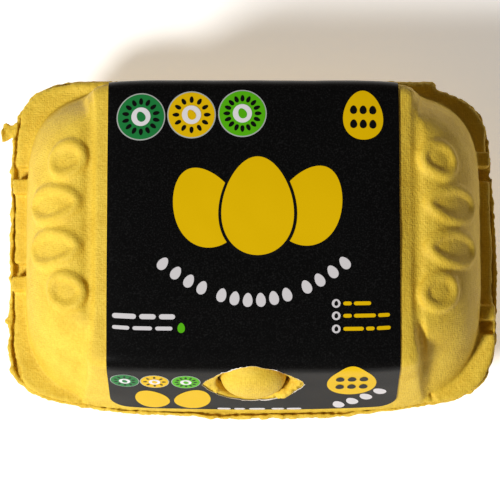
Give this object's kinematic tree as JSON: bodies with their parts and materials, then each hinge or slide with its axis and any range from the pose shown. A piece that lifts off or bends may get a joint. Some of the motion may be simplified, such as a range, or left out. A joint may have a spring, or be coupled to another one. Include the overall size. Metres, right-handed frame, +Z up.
{
  "type": "egg carton",
  "caption": "Shut moulded-pulp egg carton with a black printed paper label round its lid, a domed latch in front and raised egg outlines on the ends.",
  "frame": {"origin": "centre of the carton's footprint, on the surface that its cups stand on", "axes": "+X to the right along the long side, +Y from the latch to the hinge, +Z up"},
  "size_m": [0.1528, 0.1068, 0.0712],
  "materials": {
    "pulp": "matte",
    "label_paper": "satin"
  },
  "bodies": {
    "root": {"tray": "pulp", "lid": "pulp", "label": "label_paper"}
  },
  "joints": []
}
